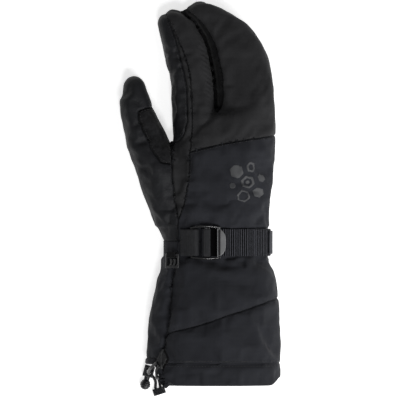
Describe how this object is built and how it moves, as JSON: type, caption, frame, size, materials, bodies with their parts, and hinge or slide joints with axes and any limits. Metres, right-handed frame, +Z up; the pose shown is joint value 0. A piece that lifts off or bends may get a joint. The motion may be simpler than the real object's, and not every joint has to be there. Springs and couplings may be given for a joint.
{
  "type": "lobster claw mitt",
  "caption": "Padded snow mitt for the right hand with a separate index finger and thumb, a buckled wrist strap and a gauntlet cuff with a locked hem drawcord.",
  "frame": {"origin": "on the surface it lies on, under the middle of the palm", "axes": "+Z up through the back of the hand, +Y toward the fingertips, -X toward the thumb"},
  "size_m": [0.1451, 0.3557, 0.056],
  "materials": {
    "softshell": "matte woven softshell",
    "leather": "soft satin grain",
    "suede": "napped suede",
    "webbing": "ribbed webbing",
    "elastic": "braided elastic",
    "buckle_plastic": "moulded satin gloss",
    "clip_plastic": "moulded satin",
    "lock_plastic": "moulded satin"
  },
  "bodies": {
    "mitt": {"finger_back_panel": "softshell", "hand_back_panel": "softshell", "index_gusset": "softshell", "finger_fourchette": "leather", "thumb_wipe_patch": "suede", "thumb_back": "leather", "thumb_palm": "leather", "palm_leather": "leather", "cuff_upper_back": "softshell", "cuff_lower_back": "softshell", "cuff_palm_panel": "softshell", "hem_band": "softshell", "strap_anchor": "webbing", "strap_webbing": "webbing", "clip_loop": "webbing", "cord_exit_tab": "leather", "drawcord_long": "elastic", "drawcord_short": "elastic", "ladder_buckle": "buckle_plastic", "glove_clip": "clip_plastic", "cord_lock_barrel": "lock_plastic", "cord_end": "lock_plastic"},
    "lock_button": {"cord_lock_plunger": "lock_plastic"}
  },
  "joints": [
    {"name": "lock_button_slide", "type": "slide", "parent": "mitt", "child": "lock_button", "axis": [0.2588, 0.9659, 0], "range_m": [0, 0.002], "stiffness_N_per_m": 600, "springref_m": -0.002}
  ]
}
